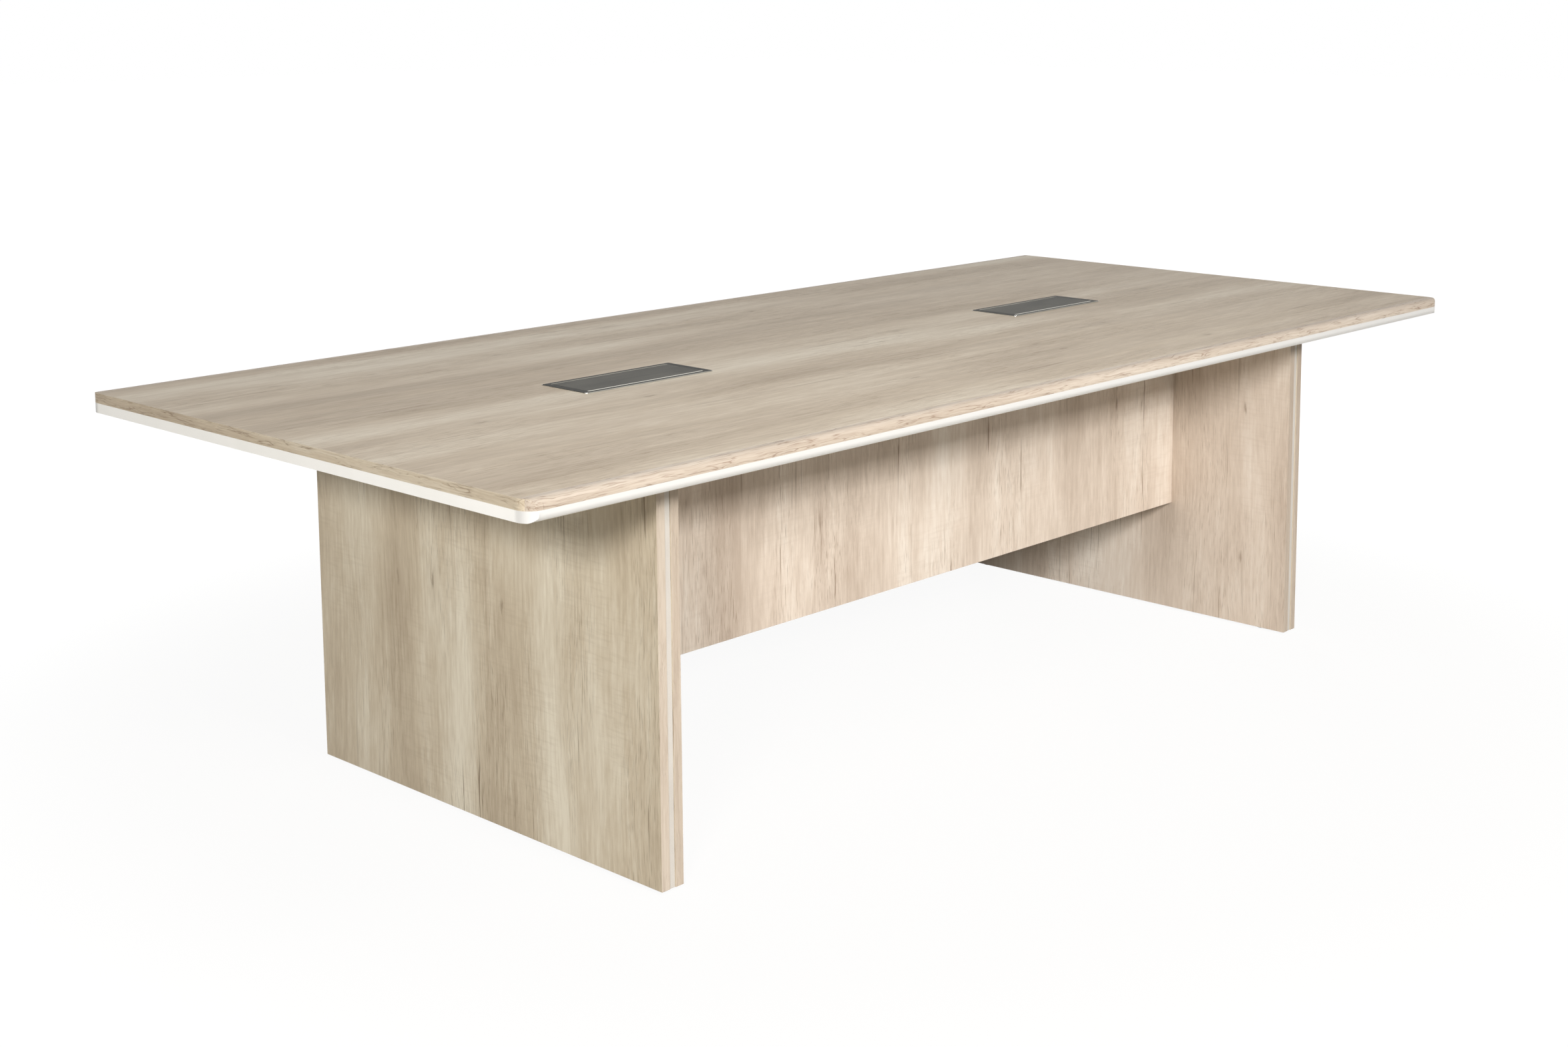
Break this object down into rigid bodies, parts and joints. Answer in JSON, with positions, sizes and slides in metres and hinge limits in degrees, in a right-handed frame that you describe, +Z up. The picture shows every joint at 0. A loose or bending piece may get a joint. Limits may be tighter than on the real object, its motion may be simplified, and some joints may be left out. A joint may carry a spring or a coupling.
{
  "type": "conference table",
  "caption": "Conference table with an oak-look top over a white band, sandwich panel legs, a hollow cable spine and flush power boxes with flip-up lids.",
  "frame": {"origin": "on the floor under the middle of the top", "axes": "+X along the table's length, +Y across it towards the lid hinges, +Z up"},
  "size_m": [2.7, 1.25, 0.752],
  "materials": {
    "oak_top": "light washed oak laminate, satin, grain along the table",
    "oak_edge": "light washed oak edge strip with coarse pores, satin",
    "oak_panel": "light washed oak laminate, satin, grain upright",
    "white_board": "white melamine-faced board",
    "raw_batten": "planed softwood",
    "zinc_steel": "zinc plated",
    "frame_metal": "dark grey satin anodised",
    "lid_metal": "mid grey brushed, bright chamfered long edges",
    "tray_steel": "dark grey powder coat",
    "black_plastic": "fine matt texture",
    "white_plastic": "satin moulded"
  },
  "bodies": {
    "table": {"cable_shelf": "white_board", "front_lipping": "oak_edge", "front_spine_panel": "oak_panel", "left_box_data_port_1": "black_plastic", "left_box_data_port_2": "black_plastic", "left_box_frame": "frame_metal", "left_box_hinge_rod": "zinc_steel", "left_box_mains_inlet": "black_plastic", "left_box_power_socket_1": "white_plastic", "left_box_power_socket_2": "white_plastic", "left_box_power_socket_3": "white_plastic", "left_box_socket_plate": "tray_steel", "left_box_tray": "tray_steel", "left_end_band": "oak_edge", "left_front_glide": "black_plastic", "left_front_leg_angle": "zinc_steel", "left_front_leg_screw": "zinc_steel", "left_front_spine_batten": "raw_batten", "left_front_top_screw": "zinc_steel", "left_leg_core": "white_board", "left_leg_inner_panel": "oak_panel", "left_leg_outer_panel": "oak_panel", "left_rear_glide": "black_plastic", "left_rear_leg_angle": "zinc_steel", "left_rear_leg_screw": "zinc_steel", "left_rear_spine_batten": "raw_batten", "left_rear_top_screw": "zinc_steel", "rear_lipping": "oak_edge", "rear_spine_panel": "oak_panel", "right_box_data_port_1": "black_plastic", "right_box_data_port_2": "black_plastic", "right_box_frame": "frame_metal", "right_box_hinge_rod": "zinc_steel", "right_box_mains_inlet": "black_plastic", "right_box_power_socket_1": "white_plastic", "right_box_power_socket_2": "white_plastic", "right_box_power_socket_3": "white_plastic", "right_box_socket_plate": "tray_steel", "right_box_tray": "tray_steel", "right_end_band": "oak_edge", "right_front_glide": "black_plastic", "right_front_leg_angle": "zinc_steel", "right_front_leg_screw": "zinc_steel", "right_front_spine_batten": "raw_batten", "right_front_top_screw": "zinc_steel", "right_leg_core": "white_board", "right_leg_inner_panel": "oak_panel", "right_leg_outer_panel": "oak_panel", "right_rear_glide": "black_plastic", "right_rear_leg_angle": "zinc_steel", "right_rear_leg_screw": "zinc_steel", "right_rear_spine_batten": "raw_batten", "right_rear_top_screw": "zinc_steel", "top_board": "oak_top", "under_board": "white_board"},
    "left_lid": {"left_box_lid": "lid_metal"},
    "right_lid": {"right_box_lid": "lid_metal"}
  },
  "joints": [
    {"name": "left_lid_hinge", "type": "hinge", "parent": "table", "child": "left_lid", "pos_m": [-0.615, 0.0493, 0.7495], "axis": [-1, 0, 0], "range_deg": [0, 105]},
    {"name": "right_lid_hinge", "type": "hinge", "parent": "table", "child": "right_lid", "pos_m": [0.615, 0.0493, 0.7495], "axis": [-1, 0, 0], "range_deg": [0, 105]}
  ]
}
